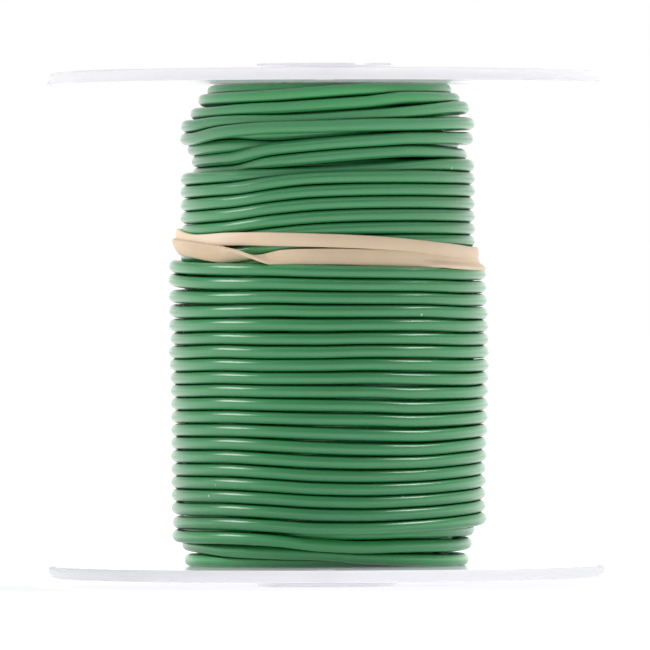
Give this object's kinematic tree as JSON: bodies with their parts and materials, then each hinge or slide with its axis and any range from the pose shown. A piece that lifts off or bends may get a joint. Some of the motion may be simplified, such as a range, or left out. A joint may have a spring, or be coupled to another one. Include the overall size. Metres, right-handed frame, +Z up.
{
  "type": "wire spool",
  "caption": "Flanged plastic spool with a through bore, wound with insulated hook-up wire that a rubber band holds in place.",
  "frame": {"origin": "centre of the lower hub's end face, on the surface that the spool stands on", "axes": "+Z up the spool's axis through the arbor hole, -Y towards the viewer of the picture, +X to its right"},
  "size_m": [0.0888, 0.0888, 0.0835],
  "materials": {
    "spool_plastic": "gloss",
    "wire_insulation": "semi-gloss",
    "bare_copper": "satin",
    "natural_rubber": "matte"
  },
  "bodies": {
    "root": {"upper_flange": "spool_plastic", "lower_flange": "spool_plastic", "barrel": "spool_plastic", "winding_core": "wire_insulation", "upper_turns": "wire_insulation", "outer_turns": "wire_insulation", "conductor": "bare_copper", "rubber_band": "natural_rubber"}
  },
  "joints": []
}
